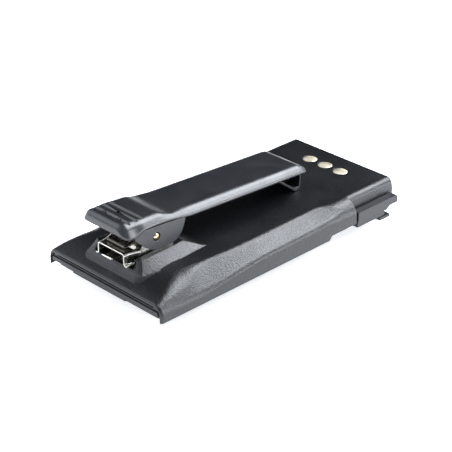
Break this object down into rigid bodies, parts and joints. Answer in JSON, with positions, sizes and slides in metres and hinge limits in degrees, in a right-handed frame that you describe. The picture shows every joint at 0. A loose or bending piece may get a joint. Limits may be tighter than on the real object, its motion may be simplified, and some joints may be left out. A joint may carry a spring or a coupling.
{
  "type": "two-way radio battery pack with belt clip",
  "caption": "Slim black rechargeable battery pack of a portable two-way radio, with a raised clip receiver, gold charge contacts and a sprung belt clip that slides off.",
  "frame": {"origin": "middle of the pack's outline, on the plane it rests on with the clip uppermost", "axes": "+Z out of the clip face, +Y towards the charge contacts (the radio's base end), +X to the right of someone looking along +Y"},
  "size_m": [0.056, 0.1156, 0.0322],
  "materials": {
    "housing_plastic": "fine spark-eroded texture, satin black",
    "cover_plastic": "fine texture, satin black",
    "clip_plastic": "smooth satin black",
    "bracket_nickel": "bright nickel plate",
    "spring_steel": "drawn wire and rolled strip",
    "pin_steel": "turned, bright",
    "contact_gold": "gold plate",
    "strip_nickel": "rolled nickel",
    "cell_can": "drawn can",
    "foam": "closed-cell foam",
    "circuit_board": "solder mask",
    "chip_package": "moulded package",
    "label_film": "blank film",
    "lead_black": "insulated wire",
    "lead_red": "insulated wire"
  },
  "bodies": {
    "pack": {"outer_housing": "housing_plastic", "inner_cover": "cover_plastic", "charge_contact_left": "contact_gold", "charge_contact_middle": "contact_gold", "charge_contact_right": "contact_gold", "radio_contact_left": "contact_gold", "radio_contact_middle": "contact_gold", "radio_contact_right": "contact_gold", "series_strip": "strip_nickel", "positive_strip": "strip_nickel", "cell_front": "cell_can", "cell_rear": "cell_can", "foam_pad_front": "foam", "foam_pad_rear": "foam", "protection_board": "circuit_board", "mosfet_pair": "chip_package", "protection_controller": "chip_package", "thermal_fuse": "chip_package", "thermistor": "chip_package", "blank_label": "label_film", "negative_lead": "lead_black", "balance_lead": "lead_red"},
    "clip_base": {"clip_bracket": "bracket_nickel", "clip_hinge_pin": "pin_steel", "clip_torsion_spring": "spring_steel"},
    "clip_arm": {"clip_arm": "clip_plastic"},
    "clip_latch": {"clip_latch_leaf": "spring_steel"}
  },
  "joints": [
    {"name": "clip_slide", "type": "slide", "parent": "pack", "child": "clip_base", "axis": [0, -1, 0], "range_m": [0, 0.024]},
    {"name": "clip_hinge", "type": "hinge", "parent": "clip_base", "child": "clip_arm", "pos_m": [0, -0.0432, 0.0242], "axis": [1, 0, 0], "range_deg": [0, 22], "stiffness_Nm_per_rad": 0.24, "springref_deg": -14.32, "deforming": ["clip_torsion_spring"]},
    {"name": "latch_flex", "type": "hinge", "parent": "clip_base", "child": "clip_latch", "pos_m": [0, -0.0385, 0.0183], "axis": [-1, 0, 0], "range_deg": [0, 4.5], "stiffness_Nm_per_rad": 0.05}
  ]
}
